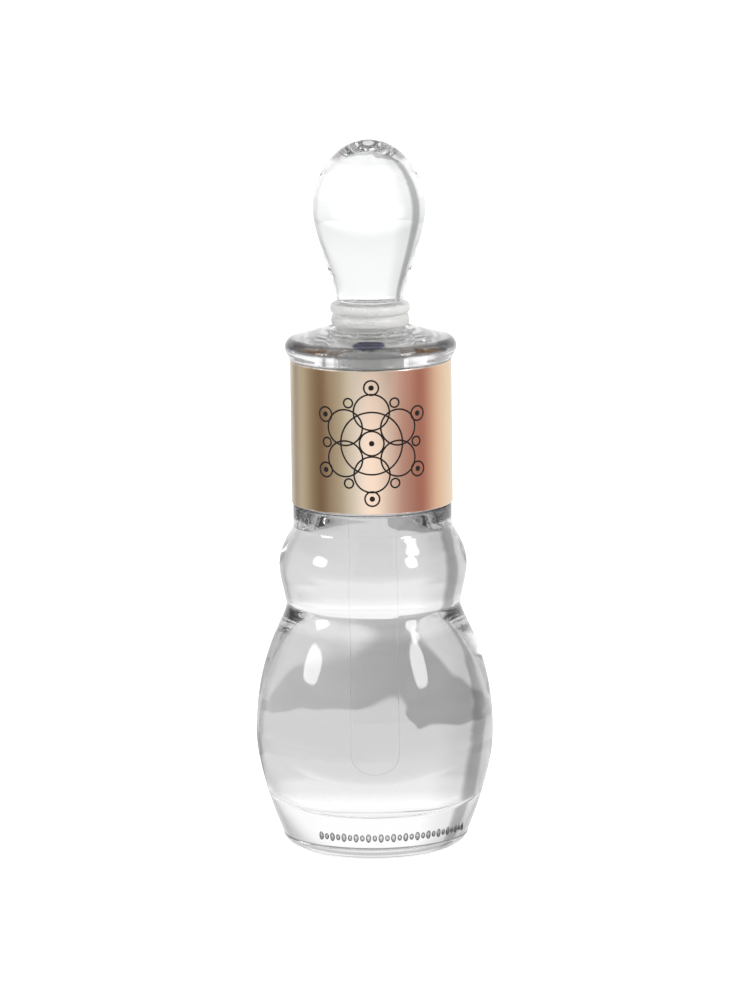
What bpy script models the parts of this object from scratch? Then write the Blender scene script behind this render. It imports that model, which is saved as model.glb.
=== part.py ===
"""Perfume oil bottle with a glass stopper and dabber rod, standing upright on its base.

Metres, +Z up. The origin is the middle of the base, and every piece is turned about the Z axis.
"""

import math

import bmesh
import bpy

OBJECT_NAME = "perfume_oil_bottle"

# Fit between pieces that touch, how far a cutter runs past its cut, and when points are one
CLEARANCE = 0.0003
OVERRUN = 0.001
MERGE_DISTANCE = 0.000002

# Outside of the glass body, from the base up
BASE_RADIUS = 0.0096
PUSH_UP_RADIUS = 0.0066
PUSH_UP_DEPTH = 0.0006
HEEL_RADIUS = 0.0122
HEEL_HEIGHT = 0.0019
HEEL_TURN = 0.0006
BELLY_RADIUS = 0.0156
BELLY_HEIGHT = 0.0152
WAIST_RADIUS = 0.01145
WAIST_ABOVE_BELLY = 0.0171
BULGE_RADIUS = 0.01234
BULGE_ABOVE_WAIST = 0.0052
NECK_RADIUS = 0.01042
NECK_ABOVE_BULGE = 0.0054

# Metal band round the neck, and the glass that shows under it
BARE_NECK_HEIGHT = 0.0029
BAND_HEIGHT = 0.0189
BAND_RADIUS = 0.01058
BAND_THICKNESS = 0.0003
BAND_SEAM = 0.0004

# Flared lip round the mouth, from the band up
LIP_FOOT_RADIUS = 0.0108
LIP_RADIUS = 0.01125
LIP_FLARE_HEIGHT = 0.0014
LIP_SHOULDER_RADIUS = 0.0098
LIP_ROUND_HEIGHT = 0.0013
MOUTH_TOP_RADIUS = 0.0056
LIP_DOME_HEIGHT = 0.0012

# Inside of the glass body
WALL = 0.0025
FLOOR_THICKNESS = 0.0058
FLOOR_RADIUS = 0.0032
MOUTH_RADIUS = 0.0049
MOUTH_LENGTH = 0.0086
MOUTH_EASE = 0.0003
SHOULDER_DEPTH = 0.0038

# Plastic plug: two rings on the lip, and a ribbed sleeve in the mouth
RING_RADIUS = 0.00525
RING_THICKNESS = 0.0013
LOWER_RING_RADIUS = 0.00515
GROOVE_RADIUS = 0.0049
GROOVE_HEIGHT = 0.0003
PLUG_DEPTH = 0.0102
PLUG_EASE = 0.0004
RIB_COUNT = 3
RIB_HEIGHT = 0.0003
RIB_THICKNESS = 0.0008
ROD_GRIP_DEPTH = 0.0045

# Glass stopper: shank, waist and bulb, from the plug up
SHANK_RADIUS = 0.0028
SHANK_EASE = 0.0003
BULB_FOOT_RADIUS = 0.0044
BULB_WAIST_RADIUS = 0.00446
BULB_FOOT_HEIGHT = 0.0007
BULB_RADIUS = 0.0074
BULB_TAPER_HEIGHT = 0.0112
CROWN_HEIGHT = 0.0092

# Glass dabber rod
ROD_RADIUS = 0.00215
ROD_ABOVE_FLOOR = 0.0050

# How far each upright handle of a side's curve reaches, as shares of the curve's height
LIP_TO_FOOT_SHARES = (0.5, 0.2)
SHOULDER_TO_MOUTH_SHARES = (0.5, 0.5)
NECK_TO_BULGE_SHARES = (0.14, 0.49)
BULGE_TO_WAIST_SHARES = (0.34, 0.16)
WAIST_TO_BELLY_SHARES = (0.115, 0.63)
BELLY_TO_HEEL_SHARES = (0.42, 0.0)
BULB_TO_WAIST_SHARES = (0.26, 0.08)
ROUND_CORNER_SHARE = 0.55

# Straight pieces in each curve, and sides of each turned piece
NECK_CURVE_PIECES = 4
BULGE_CURVE_PIECES = 4
BELLY_CURVE_PIECES = 7
HEEL_CURVE_PIECES = 6
CORNER_PIECES = 3
BULB_CURVE_PIECES = 7
RING_PIECES = 5
BODY_SIDES = 48
CLOSURE_SIDES = 36
ROD_SIDES = 24

# Heights above the base that follow from the sizes above
WAIST = BELLY_HEIGHT + WAIST_ABOVE_BELLY
BULGE = WAIST + BULGE_ABOVE_WAIST
NECK_FOOT = BULGE + NECK_ABOVE_BULGE
BAND_BOTTOM = NECK_FOOT + BARE_NECK_HEIGHT
BAND_TOP = BAND_BOTTOM + BAND_HEIGHT
LIP_FOOT = BAND_TOP + CLEARANCE
LIP_RIM = LIP_FOOT + LIP_FLARE_HEIGHT
LIP_SHOULDER = LIP_RIM + LIP_ROUND_HEIGHT
MOUTH_TOP = LIP_SHOULDER + LIP_DOME_HEIGHT
MOUTH_FOOT = MOUTH_TOP - MOUTH_LENGTH
CAVITY_SHOULDER = MOUTH_FOOT - SHOULDER_DEPTH
PLUG_SEAT = MOUTH_TOP + CLEARANCE
GROOVE_FOOT = PLUG_SEAT + RING_THICKNESS
GROOVE_TOP = GROOVE_FOOT + GROOVE_HEIGHT
PLUG_TOP = GROOVE_TOP + RING_THICKNESS
PLUG_FOOT = PLUG_SEAT - PLUG_DEPTH
ROD_TOP = PLUG_FOOT + ROD_GRIP_DEPTH
ROD_TIP = FLOOR_THICKNESS + ROD_ABOVE_FLOOR
SHANK_FOOT = ROD_TOP + CLEARANCE
BULB_SEAT = PLUG_TOP + CLEARANCE
BULB_WAIST = BULB_SEAT + BULB_FOOT_HEIGHT
BULB_WIDEST = BULB_WAIST + BULB_TAPER_HEIGHT
BULB_CROWN = BULB_WIDEST + CROWN_HEIGHT


def clear_scene():
    """Removes the objects that the scene starts with."""
    for found in list(bpy.data.objects):
        bpy.data.objects.remove(found, do_unlink=True)


def new_collection(name):
    """Makes a collection in the scene."""
    collection = bpy.data.collections.new(name)
    bpy.context.scene.collection.children.link(collection)
    return collection


def plain_material(name, colour, roughness, metallic=0.0, transmission=0.0):
    """Makes a Principled BSDF with the piece's colour and finish."""
    material = bpy.data.materials.new(name)
    material.use_nodes = True
    shader = material.node_tree.nodes["Principled BSDF"]
    shader.inputs["Base Color"].default_value = (*colour, 1.0)
    shader.inputs["Roughness"].default_value = roughness
    shader.inputs["Metallic"].default_value = metallic
    shader.inputs["Transmission Weight"].default_value = transmission
    return material


def bezier(start, start_handle, end_handle, end, pieces):
    """Points of a cubic curve after its start, up to its end."""
    points = []
    for step in range(1, pieces + 1):
        t = step / pieces
        s = 1 - t
        weights = (s**3, 3 * s * s * t, 3 * s * t * t, t**3)
        corners = (start, start_handle, end_handle, end)
        radius = sum(w * corner[0] for w, corner in zip(weights, corners))
        height = sum(w * corner[1] for w, corner in zip(weights, corners))
        points.append((radius, height))
    return points


def upright_curve(start, end, handle_shares, pieces):
    """Curve between two heights whose handles at both ends are upright."""
    rise = end[1] - start[1]
    start_handle = (start[0], start[1] + handle_shares[0] * rise)
    end_handle = (end[0], end[1] - handle_shares[1] * rise)
    return bezier(start, start_handle, end_handle, end, pieces)


def corner_curve(start, corner, end, pieces):
    """Rounded corner between two points, drawn toward the corner point."""
    start_handle = tuple(a + ROUND_CORNER_SHARE * (b - a) for a, b in zip(start, corner))
    end_handle = tuple(a + ROUND_CORNER_SHARE * (b - a) for a, b in zip(end, corner))
    return bezier(start, start_handle, end_handle, end, pieces)


def body_side(inset):
    """Side from the foot of the neck down to the belly, moved inward by inset."""
    neck_foot = (NECK_RADIUS - inset, NECK_FOOT)
    bulge = (BULGE_RADIUS - inset, BULGE)
    waist = (WAIST_RADIUS - inset, WAIST)
    belly = (BELLY_RADIUS - inset, BELLY_HEIGHT)
    points = [neck_foot]
    points += upright_curve(neck_foot, bulge, NECK_TO_BULGE_SHARES, NECK_CURVE_PIECES)
    points += upright_curve(bulge, waist, BULGE_TO_WAIST_SHARES, BULGE_CURVE_PIECES)
    points += upright_curve(waist, belly, WAIST_TO_BELLY_SHARES, BELLY_CURVE_PIECES)
    return points


def cavity_profile():
    """Inner side of the glass, from the middle of the floor up to the mouth."""
    floor_edge = (FLOOR_RADIUS, FLOOR_THICKNESS)
    side = body_side(WALL)[::-1]
    inner_belly = side[0]
    floor_corner = (inner_belly[0], FLOOR_THICKNESS)
    shoulder = (NECK_RADIUS - WALL, CAVITY_SHOULDER)
    mouth_foot = (MOUTH_RADIUS, MOUTH_FOOT)
    points = [(0.0, FLOOR_THICKNESS), floor_edge]
    points += corner_curve(floor_edge, floor_corner, inner_belly, HEEL_CURVE_PIECES)
    points += side[1:]
    points.append(shoulder)
    points += upright_curve(shoulder, mouth_foot, SHOULDER_TO_MOUTH_SHARES, CORNER_PIECES)
    points.append((MOUTH_RADIUS, MOUTH_TOP - MOUTH_EASE))
    points.append((MOUTH_RADIUS + MOUTH_EASE, MOUTH_TOP))
    return points


def lip_profile():
    """Outer side of the flared lip, from the mouth down to the band's recess."""
    mouth_top = (MOUTH_TOP_RADIUS, MOUTH_TOP)
    shoulder = (LIP_SHOULDER_RADIUS, LIP_SHOULDER)
    rim = (LIP_RADIUS, LIP_RIM)
    foot = (LIP_FOOT_RADIUS, LIP_FOOT)
    points = [mouth_top, shoulder]
    points += corner_curve(shoulder, (LIP_RADIUS, LIP_SHOULDER), rim, CORNER_PIECES)
    points += upright_curve(rim, foot, LIP_TO_FOOT_SHARES, CORNER_PIECES)
    return points


def neck_profile():
    """Shallow recess that the band lies in, down to just above the foot of the neck."""
    recess_radius = BAND_RADIUS - BAND_THICKNESS - CLEARANCE
    return [
        (recess_radius, LIP_FOOT),
        (recess_radius, BAND_BOTTOM - CLEARANCE),
        (NECK_RADIUS, BAND_BOTTOM - CLEARANCE),
    ]


def base_profile(belly):
    """Lower belly, rounded heel, flat contact ring and shallow push-up."""
    heel = (HEEL_RADIUS, HEEL_HEIGHT)
    contact = (BASE_RADIUS, 0.0)
    points = upright_curve(belly, heel, BELLY_TO_HEEL_SHARES, HEEL_CURVE_PIECES)
    points += corner_curve(heel, (HEEL_RADIUS - HEEL_TURN, 0.0), contact, CORNER_PIECES)
    points.append((PUSH_UP_RADIUS, 0.0))
    points.append((PUSH_UP_RADIUS - PUSH_UP_DEPTH, PUSH_UP_DEPTH))
    points.append((0.0, PUSH_UP_DEPTH))
    return points


def ring_bead(radius, root_radius, top, bottom):
    """Rounded bead of one ring, from its top edge down to its bottom edge."""
    middle = (top + bottom) / 2
    bulge = radius - root_radius
    points = []
    for step in range(RING_PIECES + 1):
        angle = math.pi * (step / RING_PIECES - 0.5)
        points.append((root_radius + bulge * math.cos(angle), middle - (top - middle) * math.sin(angle)))
    return points


def seal_profile():
    """Double ring and ribbed sleeve of the plug, as one closed loop with its bore."""
    rib_radius = MOUTH_RADIUS - CLEARANCE
    sleeve_radius = rib_radius - RIB_HEIGHT
    shank_bore = SHANK_RADIUS + CLEARANCE
    rod_bore = ROD_RADIUS + CLEARANCE
    points = ring_bead(RING_RADIUS, GROOVE_RADIUS, PLUG_TOP, GROOVE_TOP)
    points += ring_bead(LOWER_RING_RADIUS, GROOVE_RADIUS, GROOVE_FOOT, PLUG_SEAT)
    points[-1] = (LOWER_RING_RADIUS, PLUG_SEAT)
    points.append((sleeve_radius, PLUG_SEAT))
    plug_top = MOUTH_TOP - MOUTH_EASE
    pitch = (plug_top - MOUTH_FOOT) / RIB_COUNT
    for rib in range(RIB_COUNT):
        middle = plug_top - (rib + 0.5) * pitch
        points.append((sleeve_radius, middle + RIB_THICKNESS / 2))
        points.append((rib_radius, middle))
        points.append((sleeve_radius, middle - RIB_THICKNESS / 2))
    points.append((sleeve_radius, PLUG_FOOT + PLUG_EASE))
    points.append((sleeve_radius - PLUG_EASE, PLUG_FOOT))
    points.append((rod_bore, PLUG_FOOT))
    points.append((rod_bore, ROD_TOP))
    points.append((shank_bore, ROD_TOP))
    points.append((shank_bore, PLUG_TOP))
    points.append(points[0])
    return points


def stopper_profile():
    """Bulb, waist and shank of the stopper, from the crown down to the shank's end."""
    crown = (0.0, BULB_CROWN)
    widest = (BULB_RADIUS, BULB_WIDEST)
    waist = (BULB_WAIST_RADIUS, BULB_WAIST)
    seat = BULB_SEAT
    points = [crown]
    points += corner_curve(crown, (BULB_RADIUS, BULB_CROWN), widest, BULB_CURVE_PIECES)
    points += upright_curve(widest, waist, BULB_TO_WAIST_SHARES, BULB_CURVE_PIECES)
    points.append((BULB_FOOT_RADIUS, seat))
    points.append((SHANK_RADIUS, seat))
    points.append((SHANK_RADIUS, SHANK_FOOT + SHANK_EASE))
    points.append((SHANK_RADIUS - SHANK_EASE, SHANK_FOOT))
    points.append((0.0, SHANK_FOOT))
    return points


def rod_profile():
    """Straight rod with a rounded tip, from its top down."""
    tip_top = (ROD_RADIUS, ROD_TIP + ROD_RADIUS)
    tip = (0.0, ROD_TIP)
    points = [(0.0, ROD_TOP), (ROD_RADIUS, ROD_TOP), tip_top]
    points += corner_curve(tip_top, (ROD_RADIUS, ROD_TIP), tip, RING_PIECES)
    return points


def turned_object(name, profile, sides, material, collection, origin_height=0.0):
    """Turns a profile about the Z axis with a Screw modifier."""
    mesh = bpy.data.meshes.new(name)
    closed = profile[0] == profile[-1]
    outline = profile[:-1] if closed else profile
    count = len(outline)
    edges = [(index, index + 1) for index in range(count - 1)]
    if closed:
        edges.append((count - 1, 0))
    mesh.from_pydata([(radius, 0.0, height - origin_height) for radius, height in outline], edges, [])
    mesh.materials.append(material)
    piece = bpy.data.objects.new(name, mesh)
    piece.location.z = origin_height
    collection.objects.link(piece)
    turn = piece.modifiers.new("turn", "SCREW")
    turn.axis = "Z"
    turn.angle = math.tau
    turn.steps = sides
    turn.render_steps = sides
    turn.use_merge_vertices = True
    turn.merge_threshold = MERGE_DISTANCE
    turn.use_smooth_shade = True
    return piece


def seam_cutter(collection):
    """Thin upright block that opens the band's seam at the back."""
    mesh = bpy.data.meshes.new("band_seam_cutter")
    shape = bmesh.new()
    bmesh.ops.create_cube(shape, size=1)
    width = BAND_THICKNESS + 2 * OVERRUN
    height = BAND_TOP - BAND_BOTTOM + 2 * OVERRUN
    bmesh.ops.scale(shape, vec=(BAND_SEAM, width, height), verts=shape.verts)
    shape.to_mesh(mesh)
    shape.free()
    cutter = bpy.data.objects.new("band_seam_cutter", mesh)
    cutter.location = (0.0, BAND_RADIUS - BAND_THICKNESS / 2, (BAND_BOTTOM + BAND_TOP) / 2)
    cutter.hide_render = True
    cutter.display_type = "WIRE"
    collection.objects.link(cutter)
    return cutter


def make_bottle(collection):
    """Glass body with its cavity, open at the mouth."""
    glass = plain_material("clear_bottle_glass", (0.93, 0.94, 0.94), 0.03, transmission=1.0)
    outside = body_side(0.0)
    profile = cavity_profile() + lip_profile() + neck_profile() + outside + base_profile(outside[-1])
    return turned_object("glass_bottle", profile, BODY_SIDES, glass, collection)


def make_band(collection, cutters):
    """Thin metal strip round the neck, with its butt seam at the back."""
    metal = plain_material("rose_gold_band", (0.80, 0.60, 0.48), 0.22, metallic=1.0)
    inner_radius = BAND_RADIUS - BAND_THICKNESS
    profile = [
        (BAND_RADIUS, BAND_TOP),
        (BAND_RADIUS, BAND_BOTTOM),
        (inner_radius, BAND_BOTTOM),
        (inner_radius, BAND_TOP),
        (BAND_RADIUS, BAND_TOP),
    ]
    band = turned_object("neck_band", profile, BODY_SIDES, metal, collection)
    seam = band.modifiers.new("seam", "BOOLEAN")
    seam.operation = "DIFFERENCE"
    seam.object = seam_cutter(cutters)
    return band


def make_seal(collection):
    """Plastic plug, with its origin on the axis at the lip that it rests on."""
    plastic = plain_material("clear_plug_plastic", (0.86, 0.86, 0.84), 0.30, transmission=0.7)
    return turned_object("stopper_seal", seal_profile(), CLOSURE_SIDES, plastic, collection, PLUG_SEAT)


def make_stopper(collection):
    """Solid glass stopper, with its origin on the axis at the top of the plug."""
    glass = plain_material("clear_stopper_glass", (0.95, 0.96, 0.97), 0.02, transmission=1.0)
    profile = stopper_profile()
    return turned_object("glass_stopper", profile, CLOSURE_SIDES, glass, collection, PLUG_TOP)


def make_rod(collection):
    """Glass rod held in the foot of the plug."""
    glass = plain_material("clear_rod_glass", (0.93, 0.95, 0.95), 0.03, transmission=1.0)
    return turned_object("dabber_rod", rod_profile(), ROD_SIDES, glass, collection, PLUG_SEAT)


def keep_world_place(piece, parent):
    """Parents a piece and leaves it where it stands."""
    piece.parent = parent
    piece.location.z -= parent.location.z


def main():
    """Builds the five pieces and parents what lifts out together."""
    clear_scene()
    parts = new_collection(OBJECT_NAME)
    cutters = new_collection("cutters")
    make_bottle(parts)
    make_band(parts, cutters)
    seal = make_seal(parts)
    stopper = make_stopper(parts)
    rod = make_rod(parts)
    keep_world_place(stopper, seal)
    keep_world_place(rod, seal)


main()
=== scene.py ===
"""Looks of a perfume oil bottle: a clear glass body with a metal band round its neck, its oil, and a
glass stopper whose plug carries a dabber rod.

Metres, +Z up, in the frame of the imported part: the bottle stands on Z = 0 and faces -Y.
"""

import math

import bmesh
import bpy
from mathutils import Matrix, Vector


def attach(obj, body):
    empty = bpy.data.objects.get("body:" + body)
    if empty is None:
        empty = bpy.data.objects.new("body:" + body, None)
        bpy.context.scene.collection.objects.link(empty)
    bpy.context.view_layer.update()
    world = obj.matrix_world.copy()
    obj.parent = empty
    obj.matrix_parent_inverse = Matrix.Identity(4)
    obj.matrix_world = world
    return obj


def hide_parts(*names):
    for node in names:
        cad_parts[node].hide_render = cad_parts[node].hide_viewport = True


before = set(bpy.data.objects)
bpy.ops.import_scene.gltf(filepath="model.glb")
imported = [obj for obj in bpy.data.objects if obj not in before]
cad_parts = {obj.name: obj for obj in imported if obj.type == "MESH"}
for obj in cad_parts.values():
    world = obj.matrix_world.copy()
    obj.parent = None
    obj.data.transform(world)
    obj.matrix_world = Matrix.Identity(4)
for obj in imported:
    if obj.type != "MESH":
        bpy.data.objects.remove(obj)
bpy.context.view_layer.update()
scene = bpy.context.scene

# Clearance between touching pieces
CLEARANCE = 0.0003

# Outside of the glass body, from the base up
BASE_RADIUS = 0.0096
PUSH_UP_RADIUS = 0.0066
PUSH_UP_DEPTH = 0.0006
HEEL_RADIUS = 0.0122
HEEL_HEIGHT = 0.0019
HEEL_TURN = 0.0006
BELLY_RADIUS = 0.0156
BELLY_HEIGHT = 0.0152
WAIST_RADIUS = 0.01145
WAIST_ABOVE_BELLY = 0.0171
BULGE_RADIUS = 0.01234
BULGE_ABOVE_WAIST = 0.0052
NECK_RADIUS = 0.01042
NECK_ABOVE_BULGE = 0.0054
BARE_NECK_HEIGHT = 0.0029

# Metal band
BAND_HEIGHT = 0.0189
BAND_RADIUS = 0.01058
BAND_THICKNESS = 0.0003
BAND_SEAM = 0.0004
BAND_EDGE = 0.00008

# Flared lip round the mouth, from the band up
LIP_FOOT_RADIUS = 0.0108
LIP_RADIUS = 0.01125
LIP_FLARE_HEIGHT = 0.0014
LIP_SHOULDER_RADIUS = 0.0098
LIP_ROUND_HEIGHT = 0.0013
MOUTH_TOP_RADIUS = 0.0056
LIP_DOME_HEIGHT = 0.0012

# Faint rings pressed into the lip's top, and the mould's line round the heel
LIP_RING_COUNT = 3
LIP_RING_DEPTH = 0.000025
MOULD_LINE_DEPTH = 0.00020
MOULD_LINE_WIDTH = 0.00030

# Row of small raised grip dots above the heel: first and last azimuth, place, and half sizes in turn
DOT_COUNT = 27
DOT_FROM = math.radians(-34)
DOT_TO = math.radians(62)
DOT_HEIGHT = 0.0033
DOT_SINK = 0.00002
DOT_SIZES = ((0.00034, 0.00020, 0.00060), (0.00030, 0.00018, 0.00044))

# Inside of the glass body, and the oil in it
WALL = 0.0025
FLOOR_THICKNESS = 0.0058
FLOOR_RADIUS = 0.0032
MOUTH_RADIUS = 0.0049
MOUTH_LENGTH = 0.0086
MOUTH_EASE = 0.0003
SHOULDER_DEPTH = 0.0038
OIL_LEVEL = 0.0530
OIL_GAP = 0.00002
MENISCUS = 0.0006

# Plastic plug
RING_RADIUS = 0.00525
RING_THICKNESS = 0.0013
LOWER_RING_RADIUS = 0.00515
GROOVE_RADIUS = 0.0049
GROOVE_HEIGHT = 0.0003
PLUG_DEPTH = 0.0102
PLUG_EASE = 0.0004
RIB_COUNT = 3
RIB_HEIGHT = 0.0003
RIB_THICKNESS = 0.0008
ROD_GRIP_DEPTH = 0.0045

# Glass stopper
SHANK_RADIUS = 0.0028
SHANK_EASE = 0.0003
BULB_FOOT_RADIUS = 0.0044
BULB_WAIST_RADIUS = 0.00446
BULB_FOOT_HEIGHT = 0.0007
BULB_RADIUS = 0.0074
BULB_TAPER_HEIGHT = 0.0112
CROWN_HEIGHT = 0.0092

# Glass dabber rod
ROD_RADIUS = 0.00215
ROD_ABOVE_FLOOR = 0.0050

# How far each upright handle of a side's curve reaches, as shares of the curve's height
LIP_TO_FOOT_SHARES = (0.5, 0.2)
SHOULDER_TO_MOUTH_SHARES = (0.5, 0.5)
NECK_TO_BULGE_SHARES = (0.14, 0.49)
BULGE_TO_WAIST_SHARES = (0.34, 0.16)
WAIST_TO_BELLY_SHARES = (0.115, 0.63)
BELLY_TO_HEEL_SHARES = (0.42, 0.0)
BULB_TO_WAIST_SHARES = (0.26, 0.08)
ROUND_CORNER_SHARE = 0.55

# Ornament of black enamel lines on the band: a rosette of circles round the front's middle
ORNAMENT_HEIGHT = 0.0552
LINE_WIDTH = 0.00027
ENAMEL_THICKNESS = 0.00003
ENAMEL_SINK = -0.00003
SPOT_RADIUS = 0.00040
SPOT_TOP_SHARE = 0.8
ROSETTE_COUNT = 6
ROSETTE_RADII = (0.0016, 0.0041)

# Rings of the rosette: distance from its middle, radius, turn as a share of a step, and whether spotted
ROSETTE_RINGS = (
    (0.0041, 0.00235, 0.5, False),
    (0.0073, 0.00095, 0.5, True),
    (0.0061, 0.0006, 0.0, False),
)

# Fineness of the meshes
CIRCLE_PIECES = 72
SPOT_PIECES = 20
CURVE_PIECES = 18
LONG_CURVE_PIECES = 36
BEAD_PIECES = 16
FILLET_PIECES = 5
RING_PIECES = 8
GLASS_SIDES = 192
ROD_SIDES = 64
FILLET_ANGLE = math.radians(20)
FILLET_REACH_SHARE = 0.45
GLASS_FILLET = 0.0002
PLUG_FILLET = 0.0001

# Heights above the base that follow from the sizes above
WAIST = BELLY_HEIGHT + WAIST_ABOVE_BELLY
BULGE = WAIST + BULGE_ABOVE_WAIST
NECK_FOOT = BULGE + NECK_ABOVE_BULGE
BAND_BOTTOM = NECK_FOOT + BARE_NECK_HEIGHT
BAND_TOP = BAND_BOTTOM + BAND_HEIGHT
LIP_FOOT = BAND_TOP + CLEARANCE
LIP_RIM = LIP_FOOT + LIP_FLARE_HEIGHT
LIP_SHOULDER = LIP_RIM + LIP_ROUND_HEIGHT
MOUTH_TOP = LIP_SHOULDER + LIP_DOME_HEIGHT
MOUTH_FOOT = MOUTH_TOP - MOUTH_LENGTH
CAVITY_SHOULDER = MOUTH_FOOT - SHOULDER_DEPTH
PLUG_SEAT = MOUTH_TOP + CLEARANCE
GROOVE_FOOT = PLUG_SEAT + RING_THICKNESS
GROOVE_TOP = GROOVE_FOOT + GROOVE_HEIGHT
PLUG_TOP = GROOVE_TOP + RING_THICKNESS
PLUG_FOOT = PLUG_SEAT - PLUG_DEPTH
ROD_TOP = PLUG_FOOT + ROD_GRIP_DEPTH
ROD_TIP = FLOOR_THICKNESS + ROD_ABOVE_FLOOR
SHANK_FOOT = ROD_TOP + CLEARANCE
BULB_SEAT = PLUG_TOP + CLEARANCE
BULB_WAIST = BULB_SEAT + BULB_FOOT_HEIGHT
BULB_WIDEST = BULB_WAIST + BULB_TAPER_HEIGHT
BULB_CROWN = BULB_WIDEST + CROWN_HEIGHT

# Refraction against air, and of glass against oil. The wetted wall bends light for both, so the oil's
# side doesn't bend it again.
GLASS_IOR = 1.51
OIL_IOR = 1.48
GLASS_IN_OIL_IOR = GLASS_IOR / OIL_IOR
OIL_SIDE_IOR = 1.0
ROD_IOR = 1.473
PLASTIC_IOR = 1.49

# Camera: where it stands, what it looks at, and its roll
CAMERA_PLACE = (0.0, -0.9839, 0.2255)
CAMERA_AIM = (0.00035, 0.0, 0.04585)
CAMERA_ROLL = math.radians(-0.65)
CAMERA_LENS = 183.1
CAMERA_SENSOR = 24.0


# Profiles

def bezier(start, start_handle, end_handle, end, pieces):
    """Points of a cubic curve after its start, up to its end."""
    points = []
    for step in range(1, pieces + 1):
        t = step / pieces
        s = 1 - t
        weights = (s**3, 3 * s * s * t, 3 * s * t * t, t**3)
        corners = (start, start_handle, end_handle, end)
        radius = sum(w * corner[0] for w, corner in zip(weights, corners))
        height = sum(w * corner[1] for w, corner in zip(weights, corners))
        points.append((radius, height))
    return points


def upright_curve(start, end, handle_shares, pieces=CURVE_PIECES):
    """Curve between two heights whose handles at both ends are upright."""
    rise = end[1] - start[1]
    start_handle = (start[0], start[1] + handle_shares[0] * rise)
    end_handle = (end[0], end[1] - handle_shares[1] * rise)
    return bezier(start, start_handle, end_handle, end, pieces)


def corner_curve(start, corner, end, pieces=CURVE_PIECES):
    """Rounded corner between two points, drawn toward the corner point."""
    start_handle = tuple(a + ROUND_CORNER_SHARE * (b - a) for a, b in zip(start, corner))
    end_handle = tuple(a + ROUND_CORNER_SHARE * (b - a) for a, b in zip(end, corner))
    return bezier(start, start_handle, end_handle, end, pieces)


def rounded(points, reach, closed=False):
    """The same outline with its sharp corners rounded off."""
    count = len(points)
    result = []
    for index, point in enumerate(points):
        if not closed and index in (0, count - 1):
            result.append(point)
            continue
        here = Vector(point)
        before = Vector(points[index - 1]) - here
        after = Vector(points[(index + 1) % count]) - here
        turn = math.pi - before.angle(after)
        if turn < FILLET_ANGLE:
            result.append(point)
            continue
        span = min(reach, FILLET_REACH_SHARE * before.length, FILLET_REACH_SHARE * after.length)
        start = here + before.normalized() * span
        end = here + after.normalized() * span
        result.append(tuple(start))
        result += corner_curve(tuple(start), point, tuple(end), FILLET_PIECES)
    return result


def body_side(inset):
    """Side from the foot of the neck down to the belly, moved inward by inset."""
    neck_foot = (NECK_RADIUS - inset, NECK_FOOT)
    bulge = (BULGE_RADIUS - inset, BULGE)
    waist = (WAIST_RADIUS - inset, WAIST)
    belly = (BELLY_RADIUS - inset, BELLY_HEIGHT)
    points = [neck_foot]
    points += upright_curve(neck_foot, bulge, NECK_TO_BULGE_SHARES)
    points += upright_curve(bulge, waist, BULGE_TO_WAIST_SHARES)
    points += upright_curve(waist, belly, WAIST_TO_BELLY_SHARES, LONG_CURVE_PIECES)
    return points


def cavity_side(inset):
    """Inner side of the glass from the floor up to the shoulder, moved into the hollow."""
    floor = FLOOR_THICKNESS + inset
    floor_edge = (FLOOR_RADIUS, floor)
    side = body_side(WALL + inset)[::-1]
    points = [(0.0, floor), floor_edge]
    points += corner_curve(floor_edge, (side[0][0], floor), side[0])
    points += side[1:]
    return points


def cavity_profile():
    """Inner side of the glass, from the middle of the floor up to the mouth."""
    shoulder = (NECK_RADIUS - WALL, CAVITY_SHOULDER)
    mouth_foot = (MOUTH_RADIUS, MOUTH_FOOT)
    points = cavity_side(0.0)
    points += [(NECK_RADIUS - WALL, OIL_LEVEL + MENISCUS), shoulder]
    points += upright_curve(shoulder, mouth_foot, SHOULDER_TO_MOUTH_SHARES)
    points += [(MOUTH_RADIUS, MOUTH_TOP - MOUTH_EASE), (MOUTH_RADIUS + MOUTH_EASE, MOUTH_TOP)]
    return points


def lip_top():
    """Top of the lip from the mouth's edge outward, with its faint pressed rings."""
    points = []
    for step in range(LIP_RING_COUNT * RING_PIECES):
        share = step / (LIP_RING_COUNT * RING_PIECES)
        radius = MOUTH_TOP_RADIUS + (LIP_SHOULDER_RADIUS - MOUTH_TOP_RADIUS) * share
        dip = LIP_RING_DEPTH * (1 - math.cos(math.tau * LIP_RING_COUNT * share)) / 2
        points.append((radius, MOUTH_TOP - LIP_DOME_HEIGHT * share - dip))
    return points


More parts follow.
